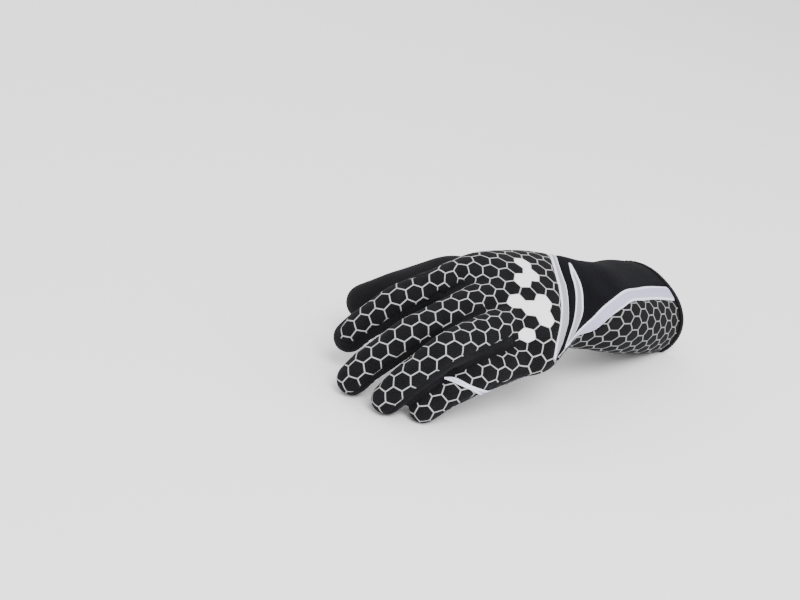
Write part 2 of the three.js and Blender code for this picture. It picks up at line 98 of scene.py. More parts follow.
# The wrist seams: angle round the glove, station
WRIST_FRONT = [[-30, 112], [0, 116], [39, 124.8], [77, 139.2], [96.5, 148.2], [115, 156],
               [128.5, 164.2], [140.5, 172.5], [153, 176.5], [165, 176], [180, 166], [200, 150],
               [230, 132], [270, 118], [300, 112]]
WRIST_REAR = [[-42, 111.5], [-25, 108.4], [0, 112], [40, 120.2], [77.5, 133.2], [99, 140.8],
              [119, 148], [134.5, 154.2], [147, 163.5], [156, 170.5], [168, 173.6], [180, 165.6],
              [200, 149.6], [230, 131.6], [270, 117.6], [300, 112]]
CRESCENT_FRONT = [[66, 121.6], [89, 130.2], [113, 137.8], [133.5, 146.8], [148.5, 157], [159, 164]]
CRESCENT_REAR = [[66, 120.4], [87.5, 124.2], [115.5, 130.2], [141, 137.5], [154, 148], [159, 156]]
# The S-shaped stripe: station and angle of its upper edge, then of its lower edge
SWOOSH = [[171, 166, 171, 168.5], [147, 162.5, 146, 171], [134.8, 158.5, 128, 170],
          [124, 146, 114.5, 160], [112, 127.5, 104, 139], [93.8, 106.5, 88, 120],
          [56, 96.5, 56, 113], [4.3, 95, 4.3, 113.5]]
# Stripe under the thumb side of the cuff: station, little-side angle, thumb-side angle
PALM_STRIPE = [[4.3, 305, 322], [40, 307, 321], [70, 316, 326], [112, 332, 337]]
# Patches: station, from angle, to angle
HEEL_PATCH = [[127, 258, 280], [130, 246, 291], [138, 229, 302], [150, 215, 305], [162, 208, 300],
              [172, 206, 302], [182, 208, 316], [190, 212, 322], [195, 224, 312]]
THUMB_BASE_PATCH = [[24, 252, 272], [29, 238, 290], [40, 226, 300], [52, 226, 300], [62, 236, 290],
                    [67, 250, 272]]
THUMB_TIP_PATCH = [[80, 216, 300], [94, 208, 304], [108, 214, 300], [116, 226, 288], [120, 244, 268]]
FINGER_STRIPE = [[30, 206, 228], [38, 168, 200], [45.3, 121, 145], [50.5, 76, 105], [54.5, 56, 66]]

# The honeycomb print on flat cloth: pitch in mm, turn of its rows in degrees, stretch along the
# glove, and where one cell's centre lies (mm)
HAND_PRINT = {"pitch": 9.7, "turn": 152.0, "stretch": 1.0, "centre": (64.4, 5.2)}
CUFF_PRINT = {"pitch": 8.5, "turn": 90.0, "stretch": 1.4, "centre": (48.0, 24.5)}
# Solid cells on the back of the hand: station and angle of the first, then steps along two rows
SOLID_CELL = (176, 96)
SOLID_STEPS = [(-2, 3), (-1, 2), (-1, 1), (1, 0), (1, -1), (2, -1), (3, -3), (0, -1)]


# Curves and turns


def ease(x):
    """0 below 0, 1 above 1, and 3x2 - 2x3 between."""
    x = np.clip(x, 0, 1)
    return x * x * (3 - 2 * x)


def bump(x, width):
    """A bell of height 1 at 0: exp(-(x / width) squared)."""
    return np.exp(-((x / width) ** 2))


def rotation(axis, degrees):
    """Turning matrices about x, y or z, one for each angle."""
    a = np.radians(np.asarray(degrees, float))
    c, s, o, z = np.cos(a), np.sin(a), np.ones_like(a), np.zeros_like(a)
    rows = {"x": [[o, z, z], [z, c, -s], [z, s, c]],
            "y": [[c, z, s], [z, o, z], [-s, z, c]],
            "z": [[c, -s, z], [s, c, z], [z, z, o]]}[axis]
    return np.moveaxis(np.array(rows), (0, 1), (-2, -1))


HAND = rotation("y", HAND_PITCH) @ rotation("x", HAND_ROLL)


def spline(at, knots, values):
    """A smooth curve through the knots: cubic pieces, each knot's slope the mean of its sides'."""
    knots, values = np.asarray(knots, float), np.asarray(values, float)
    if knots[0] > knots[-1]:
        knots, values = knots[::-1], values[::-1]
    h = np.diff(knots)
    d = np.diff(values) / h
    m = np.concatenate([[d[0]], (d[:-1] * h[1:] + d[1:] * h[:-1]) / (h[1:] + h[:-1]), [d[-1]]])
    at = np.clip(at, knots[0], knots[-1])
    i = np.clip(np.searchsorted(knots, at, side="right") - 1, 0, len(knots) - 2)
    t = (at - knots[i]) / h[i]
    return ((2 * t**3 - 3 * t**2 + 1) * values[i] + (t**3 - 2 * t**2 + t) * h[i] * m[i]
            + (3 * t**2 - 2 * t**3) * values[i + 1] + (t**3 - t**2) * h[i] * m[i + 1])


def around(rows):
    """A station for each angle, going smoothly past 360."""
    rows = np.array(rows, float)
    turns = np.concatenate([rows[:, 0] - 360, rows[:, 0], rows[:, 0] + 360])
    order = np.argsort(turns)
    keep = np.concatenate([[True], np.diff(turns[order]) > 1])
    turns, stations = turns[order][keep], np.tile(rows[:, 1], 3)[order][keep]
    return lambda angle: spline(angle, turns, stations)


def column(rows, at, value):
    """One column of a table as a smooth function of another."""
    rows = np.array(rows, float)
    return lambda x: spline(x, rows[:, at], rows[:, value])


def power(x, p):
    """x to the power p, with x's sign."""
    return np.sign(x) * np.abs(x) ** p


# The glove's form: hand and cuff on one curved axis, each digit on its own


def section(station):
    """Centre, cross axes and half widths of the hand and cuff at each station."""
    col = [spline(station, BODY[:, 0], BODY[:, k]) for k in range(1, 10)]
    turn = HAND @ rotation("z", col[7]) @ rotation("y", col[8])
    centre = np.array([0, 0, WRIST_HEIGHT]) + np.stack(col[:3], -1) @ HAND.T
    return centre, turn, col[3:7]


def body_point(station, degrees, offset=0.0):
    """A rounded-square section carried along the hand's axis: side x cos^0.9, rise x sin^0.9."""
    s, a = np.broadcast_arrays(np.asarray(station, float), np.radians(degrees))
    centre, turn, (thumb, little, rise, drop) = section(s)
    side = np.where(np.cos(a) > 0, thumb, little) + offset
    up = np.where(np.sin(a) > 0, rise, drop) + offset
    local = np.stack([np.zeros_like(s), side * power(np.cos(a), BODY_SQUARENESS),
                      up * power(np.sin(a), BODY_SQUARENESS)], -1)
    return centre + (turn @ local[..., None])[..., 0]


def digit_axes(d, station):
    """Directions along, across and above a digit, bending smoothly at its joints."""
    first, second = d["bones"][:2]
    weights = [ease((station + 12) / 24), ease((station - first + 10) / 20),
               ease((station - first - second + 8) / 16)]

    def mix(v):
        return v[0] + sum(w * (v[i + 1] - v[i]) for i, w in enumerate(weights))

    bend = np.radians(mix(d["pitch"]))
    turn = HAND @ rotation("z", mix(d["yaw"]))
    zero = np.zeros_like(bend)
    vectors = ([-np.cos(bend), zero, -np.sin(bend)], [zero, zero + 1, zero],
               [-np.sin(bend), zero, np.cos(bend)])
    return [(turn @ np.stack(v, -1)[..., None])[..., 0] for v in vectors]


@lru_cache(None)
def digit_axis(name):
    """Stations along a digit and its axis there: the sum of its short straight steps."""
    d = DIGITS[name]
    stations = np.linspace(-d["back"], sum(d["bones"]) + 6, 400)
    steps = np.diff(stations)[:, None] * digit_axes(d, (stations[1:] + stations[:-1]) / 2)[0]
    centre = np.vstack([np.zeros(3), np.cumsum(steps, 0)])
    root = np.array([np.interp(0, stations, centre[:, k]) for k in range(3)])
    base = np.array([0, 0, WRIST_HEIGHT]) + HAND @ np.array(d["base"], float)
    return stations, centre - root + base


def digit_centre(name, station):
    stations, centre = digit_axis(name)
    return np.stack([np.interp(station, stations, centre[:, k]) for k in range(3)], -1)


def digit_half(name, station):
    d = DIGITS[name]
    return spline(station, [-d["back"], d["bones"][0], sum(d["bones"])], d["half"])


def digit_point(name, station, degrees, offset=0.0):
    """A rounded section carried along the digit's axis, closing over the tip as an ellipse does."""
    d = DIGITS[name]
    s, a, offset = np.broadcast_arrays(np.asarray(station, float), np.radians(degrees), offset)
    _, across, above = digit_axes(d, s)
    length, cap = sum(d["bones"]), d["half"][2] * CAP
    x = np.clip((s - length + cap) / cap, 0, 1)
    r = (digit_half(name, s) + offset) * np.sqrt(np.clip(1 - x**2.3, 0, 1))
    return (digit_centre(name, s) + across * (r * power(np.cos(a), DIGIT_SQUARENESS))[..., None]
            + above * (r * DIGIT_HEIGHT * power(np.sin(a), DIGIT_SQUARENESS))[..., None])


# Meshes as arrays


def tube(rings):
    """Points and quads of rings joined one to the next, with a fan over each end."""
    count, around_count = rings.shape[:2]
    points = np.vstack([rings.reshape(-1, 3), rings[0].mean(0), rings[-1].mean(0)])
    i, j = np.meshgrid(np.arange(count - 1), np.arange(around_count), indexing="ij")
    k = (j + 1) % around_count
    here, there = i * around_count, (i + 1) * around_count
    one = np.stack([here + j, there + j, there + k], -1).reshape(-1, 3)
    two = np.stack([here + j, there + k, here + k], -1).reshape(-1, 3)
    ring = np.arange(around_count)
    following = (ring + 1) % around_count
    first, last = len(points) - 2, len(points) - 1
    start = np.stack([np.full_like(ring, first), ring, following], -1)
    end_ring = (count - 1) * around_count
    end = np.stack([np.full_like(ring, last), end_ring + following, end_ring + ring], -1)
    faces = np.vstack([one, two, start, end])
    inside_out = signed_volume(points, faces) < 0
    return points, faces[:, ::-1] if inside_out else faces


def signed_volume(points, faces):
    a, b, c = points[faces[:, 0]], points[faces[:, 1]], points[faces[:, 2]]
    return np.einsum("ij,ij->i", a, np.cross(b, c)).sum() / 6


def join(parts):
    """Several meshes as one pair of arrays."""
    points, faces, start = [], [], 0
    for p, f in parts:
        points.append(p)
        faces.append(f + start)
        start += len(p)
    return np.vstack(points), np.vstack(faces)


def fill_mesh(mesh, points, faces):
    mesh.from_pydata([], [], [])
    mesh.vertices.add(len(points))
    mesh.vertices.foreach_set("co", np.ascontiguousarray(points, np.float32).ravel())
    mesh.loops.add(faces.size)
    mesh.loops.foreach_set("vertex_index", np.ascontiguousarray(faces, np.int32).ravel())
    mesh.polygons.add(len(faces))
    mesh.polygons.foreach_set("loop_start", np.arange(0, faces.size, faces.shape[1], dtype=np.int32))
    mesh.update(calc_edges=True)
    mesh.validate()


def remeshed(points, faces, voxel):
    """The joined lofts as one closed skin of even small faces, by Blender's voxel remesh."""
    mesh = bpy.data.meshes.new("skin_source")
    fill_mesh(mesh, points * MM, faces)
    source = bpy.data.objects.new("skin_source", mesh)
    bpy.context.scene.collection.objects.link(source)
    remesh = source.modifiers.new("remesh", "REMESH")
    remesh.mode, remesh.voxel_size = "VOXEL", voxel * MM
    graph = bpy.context.evaluated_depsgraph_get()
    result = source.evaluated_get(graph).to_mesh()
    result.calc_loop_triangles()
    out = np.empty(len(result.vertices) * 3, np.float32)
    result.vertices.foreach_get("co", out)
    triangles = np.empty(len(result.loop_triangles) * 3, np.int32)
    result.loop_triangles.foreach_get("vertices", triangles)
    bpy.data.objects.remove(source)
    bpy.data.meshes.remove(mesh)
    return out.reshape(-1, 3).astype(float) / MM, triangles.reshape(-1, 3)


def edges_of(faces):
    pairs = np.sort(np.vstack([faces[:, [0, 1]], faces[:, [1, 2]], faces[:, [2, 0]]]), 1)
    return np.unique(pairs, axis=0)


def smoothed(points, faces, passes, share=0.5):
    """Each point moves a share of the way to the mean of its neighbours, several times."""
    a, b = edges_of(faces).T
    count = np.bincount(np.concatenate([a, b]), minlength=len(points))[:, None]
    for _ in range(passes):
        total = [np.bincount(a, points[b, k], len(points)) + np.bincount(b, points[a, k], len(points))
                 for k in range(3)]
        total = np.stack(total, -1)
        points = points + share * (total / np.maximum(count, 1) - points)
    return points


def normals_of(points, faces):
    """The mean of the faces round each point, weighted by area."""
    a, b, c = (points[faces[:, k]] for k in range(3))
    face = np.cross(b - a, c - a)
    out = np.zeros_like(points)
    for k in range(3):
        for axis in range(3):
            out[:, axis] += np.bincount(faces[:, k], face[:, axis], len(points))
    return out / np.maximum(np.linalg.norm(out, axis=1, keepdims=True), 1e-9)


def clipped(skin, field):
    """The part of a skin where a field is above 0, cut cleanly through the faces that it crosses."""
    faces, inside = skin["faces"], field > 0
    count = inside[faces].sum(1)

    def turned(f, first):
        return np.take_along_axis(f, (first[:, None] + np.arange(3)) % 3, 1)

    one = turned(faces[count == 1], np.argmax(inside[faces[count == 1]], 1))
    two = turned(faces[count == 2], np.argmin(inside[faces[count == 2]], 1))
    crossings = np.vstack([one[:, [0, 1]], one[:, [0, 2]], two[:, [1, 0]], two[:, [2, 0]]])
    keys, where = np.unique(crossings, axis=0, return_inverse=True)
    where = where.ravel() + len(field)
    n, m = len(one), len(two)
    one_b, one_c, two_b, two_c = np.split(where, [n, 2 * n, 2 * n + m])
    share = field[keys[:, 0]] / (field[keys[:, 0]] - field[keys[:, 1]])
    # Kept off the ends, so that no face is a sliver
    share = np.clip(share, 0.06, 0.94)
    whole = np.vstack([
        faces[count == 3],
        np.stack([one[:, 0], one_b, one_c], -1),
        np.stack([two_b, two[:, 1], two[:, 2]], -1),
        np.stack([two_b, two[:, 2], two_c], -1),
    ])
    used, compact = np.unique(whole, return_inverse=True)
    out = {"faces": compact.reshape(-1, 3)}
    for key, values in skin.items():
        if key == "faces":
            continue
        s = share.reshape((-1,) + (1,) * (values.ndim - 1))
        cut = values[keys[:, 0]] * (1 - s) + values[keys[:, 1]] * s
        out[key] = np.concatenate([values, cut])[used]
    return out


def largest(skin):
    """The largest connected sheet of a skin: each point takes the lowest number among its
    neighbours and then that point's own lowest, until nothing changes."""
    a, b = edges_of(skin["faces"]).T
    lowest, before = np.arange(len(skin["points"])), None
    while before is None or (lowest != before).any():
        before = lowest.copy()
        least = np.minimum(lowest[a], lowest[b])
        np.minimum.at(lowest, a, least)
        np.minimum.at(lowest, b, least)
        lowest = lowest[lowest]
    kept = lowest == np.bincount(lowest).argmax()
    number = np.cumsum(kept) - 1
    out = {key: values[kept] for key, values in skin.items() if key != "faces"}
    out["faces"] = number[skin["faces"][kept[skin["faces"][:, 0]]]]
    return out


# The whole skin, with each point's place on the hand, cuff and digits


def on_body(points):
    """Each point's station and angle on the hand and cuff: the station is where it passes from
    ahead of the cross-sections to behind them."""
    step = 1.5
    stations = np.arange(0, BODY_END + 0.1, step)
    centre, turn, _ = section(stations)
    along = turn[:, :, 0]
    ahead = points @ along.T - np.einsum("ij,ij->i", centre, along)
    k = np.clip((ahead < 0).sum(1), 1, len(stations) - 1)
    row = np.arange(len(points))
    before, after = ahead[row, k - 1], ahead[row, k]
    share = np.clip(before / np.where(np.abs(before - after) < 1e-9, 1e-9, before - after), -3, 40)
    station = stations[k - 1] + share * step
    centre, turn, _ = section(np.minimum(station, BODY_END))
    local = np.einsum("nij,ni->nj", turn, points - centre)
    # Past the finger roots the half widths stay as they are there
    thumb, little, rise, drop = section(np.minimum(station, ROOTS))[2]
    y = local[:, 1] / np.where(local[:, 1] > 0, thumb, little)
    z = local[:, 2] / np.where(local[:, 2] > 0, rise, drop)
    angle = np.degrees(np.arctan2(power(z, 1 / BODY_SQUARENESS), power(y, 1 / BODY_SQUARENESS))) % 360
    return station, angle


@lru_cache(None)
def girth_table():
    """Distance round the section from its top, for each station and angle."""
    stations, angles = np.arange(-12, 191, 4.0), np.arange(-90, 361, 3.0)
    rings = body_point(stations[:, None], angles[None])
    steps = np.linalg.norm(np.diff(rings, axis=1), axis=2)
    table = np.hstack([np.zeros((len(stations), 1)), np.cumsum(steps, 1)])
    return stations, angles, table - table[:, angles == 90]


def girth(station, angle):
    """Signed distance round the section from its top in mm, little side positive, read between
    the table's places."""
    stations, angles, table = girth_table()
    angle = np.where(angle > 315, angle - 360, angle)
    i = np.clip((station - stations[0]) / 4.0, 0, len(stations) - 1.001)
    j = np.clip((angle - angles[0]) / 3.0, 0, len(angles) - 1.001)
    a, b = i.astype(int), j.astype(int)
    s, t = i - a, j - b
    return ((table[a, b] * (1 - s) + table[a + 1, b] * s) * (1 - t)
            + (table[a, b + 1] * (1 - s) + table[a + 1, b + 1] * s) * t)


def on_digit(name, points):
    """Each point's station and angle on a digit, and its distance from the axis in half widths."""
    stations, centre = digit_axis(name)
    stations, centre = stations[::4], centre[::4]
    nearest = np.argmin((points**2).sum(1)[:, None] - 2 * points @ centre.T + (centre**2).sum(1), 1)
    along = digit_axes(DIGITS[name], stations[nearest])[0]
    station = stations[nearest] + np.einsum("ij,ij->i", points - centre[nearest], along)
    _, across, above = digit_axes(DIGITS[name], station)
    away = points - digit_centre(name, np.clip(station, stations[0], stations[-1]))
    half = digit_half(name, station)
    y = np.einsum("ij,ij->i", away, across) / half
    z = np.einsum("ij,ij->i", away, above) / half / DIGIT_HEIGHT
    p = 1 / DIGIT_SQUARENESS
    angle = np.degrees(np.arctan2(power(z, p), power(y, p))) % 360
    return station, angle, (np.abs(y) ** (2 * p) + np.abs(z) ** (2 * p)) ** (0.5 / p)


def lattice(pattern, along, across):
    """Flat cloth in mm, moved, turned and scaled so that a cell's centre is at 0 and the pitch is 1."""
    turn = np.radians(pattern["turn"])
    x, y = (along - pattern["centre"][0]) / pattern["stretch"], across - pattern["centre"][1]
    c, s = np.cos(turn), np.sin(turn)
    return np.stack([c * x + s * y, c * y - s * x], -1) / pattern["pitch"]


def laid_flat(skin):
    """The back panel as flat cloth in mm, by Blender's least-stretch unwrap, or its angle-keeping
    one where that fails. The flat cloth is then turned, scaled and moved onto the middle finger's
    own lengths by least squares with complex numbers: place = a * flat + b, with the flat cloth
    mirrored where that fits better."""
    mesh = bpy.data.meshes.new("flat_cloth")
    fill_mesh(mesh, skin["points"] * MM, skin["faces"])
    mesh.uv_layers.new(name="cloth")
    piece = bpy.data.objects.new("flat_cloth", mesh)
    bpy.context.scene.collection.objects.link(piece)
    bpy.ops.object.select_all(action="DESELECT")
    bpy.context.view_layer.objects.active = piece
    piece.select_set(True)
    known = skin["middle_weight"] > 0.5
    place = skin["middle_along"][known] + 1j * skin["middle_across"][known]
    for settings in ({"method": "MINIMUM_STRETCH", "iterations": 20}, {"method": "CONFORMAL"}):
        bpy.ops.object.mode_set(mode="EDIT")
        bpy.ops.mesh.select_all(action="SELECT")
        bpy.ops.uv.unwrap(margin=0, **settings)
        bpy.ops.object.mode_set(mode="OBJECT")
        uv = np.empty(len(mesh.loops) * 2, np.float32)
        mesh.uv_layers[0].data.foreach_get("uv", uv)
        flat = np.zeros(len(skin["points"]), complex)
        flat[skin["faces"].ravel()] = uv[::2] + 1j * uv[1::2]
        fits = []
        for side in (flat, flat.conj()):
            terms = np.stack([side[known], np.ones(known.sum())], -1)
            (a, b), *_ = np.linalg.lstsq(terms, place, rcond=None)
            out = a * side + b
            fits.append((np.abs(out[known] - place).mean(), out))
        error, out = min(fits, key=lambda fit: fit[0])
        if error < 5:
            bpy.data.objects.remove(piece)
            bpy.data.meshes.remove(mesh)
            return out.real, out.imag
    raise RuntimeError(f"the back panel did not unwrap: {error} mm off")


@lru_cache(None)
def glove_skin():
    """Hand, cuff and digits as one skin, in mm, with the fields that its pieces are cut by: each
    is about the distance to a seam in mm, and is above 0 inside the piece."""
    shape = bpy.context.scene.glove_shape
    turns = np.arange(0, 360, 6.0)
    parts = [tube(body_point(np.linspace(0, BODY_END, 90)[:, None], turns[None]))]
    for name, d in DIGITS.items():
        length, cap = sum(d["bones"]), d["half"][2] * CAP
        ends = length - cap * (1 - np.array([0.2, 0.4, 0.55, 0.7, 0.8, 0.88, 0.94, 0.98, 0.995]))
        stations = np.concatenate([np.linspace(-d["back"], length - cap, 50), ends])
        # Ring and little finger swell a little at their roots
        plump = 0.25 + (PLUMP if name in ("ring", "little") else 0.0) * bump(stations - 26, 22)
        parts.append(tube(digit_point(name, stations[:, None], turns[None], plump[:, None])))
    points, faces = remeshed(*join(parts), shape.voxel)
    points = smoothed(points, faces, shape.smoothing)

    station, angle = on_body(points)
    skin = {"faces": faces, "points": points, "station": station, "angle": angle}
    digits = {name: on_digit(name, points) for name in DIGITS}
    cuff_fields(skin)
    for fields in (hand_fields, patch_fields, cloth_fields):
        fields(skin, digits)

    points = points + normals_of(points, faces) * folds(station, angle, digits)[:, None]
    points[:, 2] = np.maximum(points[:, 2], 0.0)
    skin["points"] = points
    skin["normal"] = normals_of(points, faces)
    return skin


def hand_fields(skin, digits):
    """The thumb, sewn in round its base; the underside, which is below the side lines of the hand
    and of each finger; and the room that the print has beside the finger seams."""
    station, angle = skin["station"], skin["angle"]
    st, _, away = digits["thumb"]
    thumb = np.minimum(st + 4, (1.22 - away) * 13)
    skin["thumb"] = np.where(away < 2, thumb, OUTSIDE)
    turned = (angle - 192) % 360
    under = np.minimum(turned, 180 - turned) * DEGREE
    under = np.minimum(under, BODY_END + 6 - station)
    for name, (thumb_lift, little_lift) in FINGER_SEAMS.items():
        st, an, away = digits[name]
        turned = (an - 180 + little_lift) % 360
        span = 180 + little_lift + thumb_lift
        side = np.minimum(turned, span - turned) * digit_half(name, st) * np.pi / 180
        side = np.where(turned > span + (360 - span) / 2, -(360 - turned) * FINGER_DEGREE, side)
        finger = np.minimum(np.minimum(side, st - 3), (1.3 - away) * 10)
        under = np.maximum(under, finger)
    skin["under"] = under
    # The print stops short of the finger seams, but runs up to the seams of the hand
    skin["margin"] = 9 * ease((168 - station) / 12) - under


def cuff_fields(skin):
    """The wrist seams, the cuff's panels, and its stripes and crescent."""
    station, angle = skin["station"], skin["angle"]
    skin["hand"] = station - around(WRIST_FRONT)(angle)
    skin["cuff"] = around(WRIST_REAR)(angle) - station
    skin["mouth"] = station - HEM_WIDTH - 1
    upper, lower = column(SWOOSH, 0, 1)(station), column(SWOOSH, 2, 3)(station)
    little, thumb = column(PALM_STRIPE, 0, 1)(station), column(PALM_STRIPE, 0, 2)(station)
    skin["top"] = np.maximum(upper - angle, angle - thumb) * DEGREE
    skin["side"] = np.minimum(angle - lower, little - angle) * DEGREE
    skin["swoosh"] = np.minimum(np.minimum(angle - upper, lower - angle) * DEGREE, SWOOSH[0][0] - station)
    skin["palm_stripe"] = np.minimum(angle - little, thumb - angle) * DEGREE
    arc = np.minimum(angle - CRESCENT_FRONT[0][0], CRESCENT_FRONT[-1][0] - angle) * DEGREE
    front, rear = column(CRESCENT_FRONT, 0, 1)(angle), column(CRESCENT_REAR, 0, 1)(angle)
    skin["crescent"] = np.minimum(arc, np.minimum(front - station, station - rear))


def patch_fields(skin, digits):
    """The grip patches and the little finger's stripe, each with the mm that a degree spans there."""
    skin["heel_patch"] = patch_field(HEEL_PATCH, skin["station"], skin["angle"], DEGREE)
    st, an, away = digits["thumb"]
    skin["thumb_station"], skin["thumb_angle"] = st, an
    near = np.where(away < 1.25, INSIDE, OUTSIDE)
    skin["thumb_base_patch"] = np.minimum(patch_field(THUMB_BASE_PATCH, st, an, 0.23), near)
    skin["thumb_tip_patch"] = np.minimum(patch_field(THUMB_TIP_PATCH, st, an, 0.2), near)
    nearest = np.argmin([digits[n][2] + 9 * (digits[n][0] < -2) for n in FINGER_SEAMS], 0)
    st, an, away = digits["little"]
    near = np.where((away < 1.25) & (nearest == list(FINGER_SEAMS).index("little")), INSIDE, OUTSIDE)
    skin["finger_stripe"] = np.minimum(patch_field(FINGER_STRIPE, st, an, 0.17), near)


def cloth_fields(skin, digits):
    """Places on the cloth: each point's station and angle on the hand and on every digit, and the
    one that holds it, for the threads; places on the middle finger and the cuff, for the print."""
    skin["chart_station"] = np.stack([skin["station"]] + [digits[n][0] for n in DIGITS], -1)
    skin["chart_angle"] = np.stack([skin["angle"]] + [digits[n][1] for n in DIGITS], -1)
    reach = np.stack([digits[n][2] + 9 * (digits[n][0] < 6) for n in DIGITS], -1)
    skin["chart"] = np.where(reach.min(1) < 1.3, reach.argmin(1) + 1.0, 0.0)
    st, an, away = digits["middle"]
    stations = np.arange(0, 90, 1.0)
    back = digit_point("middle", stations, 90)
    lengths = np.concatenate([[0], np.cumsum(np.linalg.norm(np.diff(back, axis=0), axis=1))])
    skin["middle_along"] = np.interp(st, stations, lengths)
    skin["middle_across"] = (an - 90) * digit_half("middle", st) * np.pi / 180
    known = (st > 8) & (st < 86) & (np.abs(an - 90) < 55) & (away < 1.2)
    skin["middle_weight"] = known.astype(float)
    skin["cuff_flat"] = lattice(CUFF_PRINT, skin["station"], girth(skin["station"], skin["angle"]))


def patch_field(rows, station, angle, mm_per_degree):
    """Distance inside a patch whose two edges are given as angles along its length, in mm."""
    start, end = rows[0][0], rows[-1][0]
    edge = np.minimum(angle - column(rows, 0, 1)(station), column(rows, 0, 2)(station) - angle)
    return np.minimum(edge * mm_per_degree, np.minimum(station - start, end - station))


def folds(station, angle, digits):
    """Heights of the soft folds: shallow waves at the wrist and cuff, creases under the finger
    joints and a low swell above them."""
    a = np.radians(angle)
    depth = bpy.context.scene.glove_shape.fold_depth
    wrist = bump(station - 118, 26) * (np.sin(station / 5.2 + 1.4 * np.sin(a + 0.6)) * np.cos(a + 2.2))
    cuff = bump(station - 55, 45) * np.sin(a * 2 + station / 19) * 0.9
    drape = np.sin(station / 23 + 2 * np.cos(a)) * 0.5 + np.sin(station / 11 - 3 * a) * 0.25
    height = depth * (0.5 * wrist + 0.6 * cuff + 0.4 * drape)
    for name in DIGITS:
        st, an, away = digits[name]
        first, second = DIGITS[name]["bones"][:2]
        near = ease((1.35 - away) * 4) * ease((st - 4) / 8)
        below = ease(-np.sin(np.radians(an)) + 0.35)
        for joint in (first, first + second):
            beside = bump(st - joint - 4.5, 1.4) + bump(st - joint + 4.5, 1.4)
            crease = bump(st - joint, 1.6) + 0.6 * beside
            height = height - near * below * crease * depth * 0.9
            height = height + near * (1 - below) * bump(st - joint, 6) * depth * 0.35
    return height


# Pieces


def thread_places(skin):
    """Cloth coordinates in mm for each face corner: the station, and the angle times a radius,
    both on the chart of the face's first point, so that no face spans two charts or a full turn."""
    faces = skin["faces"]
    chart = np.round(skin["chart"][faces[:, 0]]).astype(int)[:, None]
    angle = skin["chart_angle"][faces, chart]
    angle = angle + 360 * np.round((angle[:, :1] - angle) / 360)
    radius = np.where(chart == 0, HAND_RADIUS, DIGIT_RADIUS)
    places = np.stack([skin["chart_station"][faces, chart], np.radians(angle) * radius], -1)
    return places.reshape(-1, 2)


def mesh_of(name, points, faces):
    """A smooth-shaded mesh in the row's frame, from points in mm, none of them under the floor."""
    mesh = bpy.data.meshes.new(name)
    points = np.concatenate([points[:, :2], np.maximum(points[:, 2:], 0.0)], 1)
    fill_mesh(mesh, (points + SHIFT) * MM, faces)
    mesh.shade_smooth()
    return mesh


def new_piece(name, skin, edge, material, slot, nodes, lift=0.0, thickness=None, tuck=None, flat=None):
    """A cloth piece cut from the skin, its edge tucked into the seam, with a wall grown inwards.
    It keeps each point's distance to its edge and the print's room for its material."""
    shape = bpy.context.scene.glove_shape
    thickness = shape.wall if thickness is None else thickness
    tuck = shape.seam_depth if tuck is None else tuck
    points = skin["points"] + skin["normal"] * (lift - tuck * bump(edge, 1.3))[:, None]
    mesh = mesh_of(name, points, skin["faces"])
    for key, values in (("edge", edge), ("margin", skin["margin"])):
        values = np.ascontiguousarray(values, np.float32)
        mesh.attributes.new(key, "FLOAT", "POINT").data.foreach_set("value", values)
    corners = thread_places(skin) if flat is None else flat[skin["faces"].ravel()]
    corners = np.ascontiguousarray(corners, np.float32)
    mesh.uv_layers.new(name="cloth").data.foreach_set("uv", corners.ravel())
    return finished(name, mesh, material, nodes, thickness)


def finished(name, mesh, material, nodes=(), thickness=0.0):
    """Makes the object, its wall and its material, and lets it ride on the glove."""
    piece = bpy.data.objects.new(name, mesh)
    bpy.context.scene.collection.objects.link(piece)
    mesh.materials.append(material)
    if thickness:
        mesh.materials.append(lining())
        wall = piece.modifiers.new("wall", "SOLIDIFY")
        wall.thickness, wall.offset, wall.material_offset = thickness * MM, -1, 1
        wall.material_offset_rim = 1 if thickness > 1 else 0
    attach(piece, "root")
    if nodes:
        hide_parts(*nodes)
    return piece


def cut(*fields):
    """The skin where every named field is above 0, and each point's distance to the nearest cut."""
    skin = glove_skin()
    names = [f.lstrip("-") for f in fields]
    signs = [-1 if f.startswith("-") else 1 for f in fields]
    for name, sign in zip(names, signs):
        skin = clipped(skin, sign * skin[name])
    skin = largest(skin)
    edge = np.min([sign * skin[name] for name, sign in zip(names, signs)], 0)
    return skin, np.maximum(edge, 0)


def seam_line(skin, distance, level, order):
    """Points and normals along the line where a distance has one value: its crossings of the
    skin's edges, sorted by their order along the line, with each the mean of its neighbours."""
    a, b = edges_of(skin["faces"]).T
    f = distance - level
    keep = (f[a] * f[b] < 0) & (np.abs(order[a] - order[b]) < 30)
    a, b = a[keep], b[keep]
    t = (f[a] / (f[a] - f[b]))[:, None]
    rows = np.hstack([skin["points"], skin["normal"]])
    rows = rows[a] * (1 - t) + rows[b] * t
    rank = np.argsort(order[a] * (1 - t[:, 0]) + order[b] * t[:, 0])
    rows = rows[rank]
    near = np.pad(rows, ((3, 3), (0, 0)), mode="edge")
    return np.mean([near[k:k + len(rows)] for k in range(7)], 0)


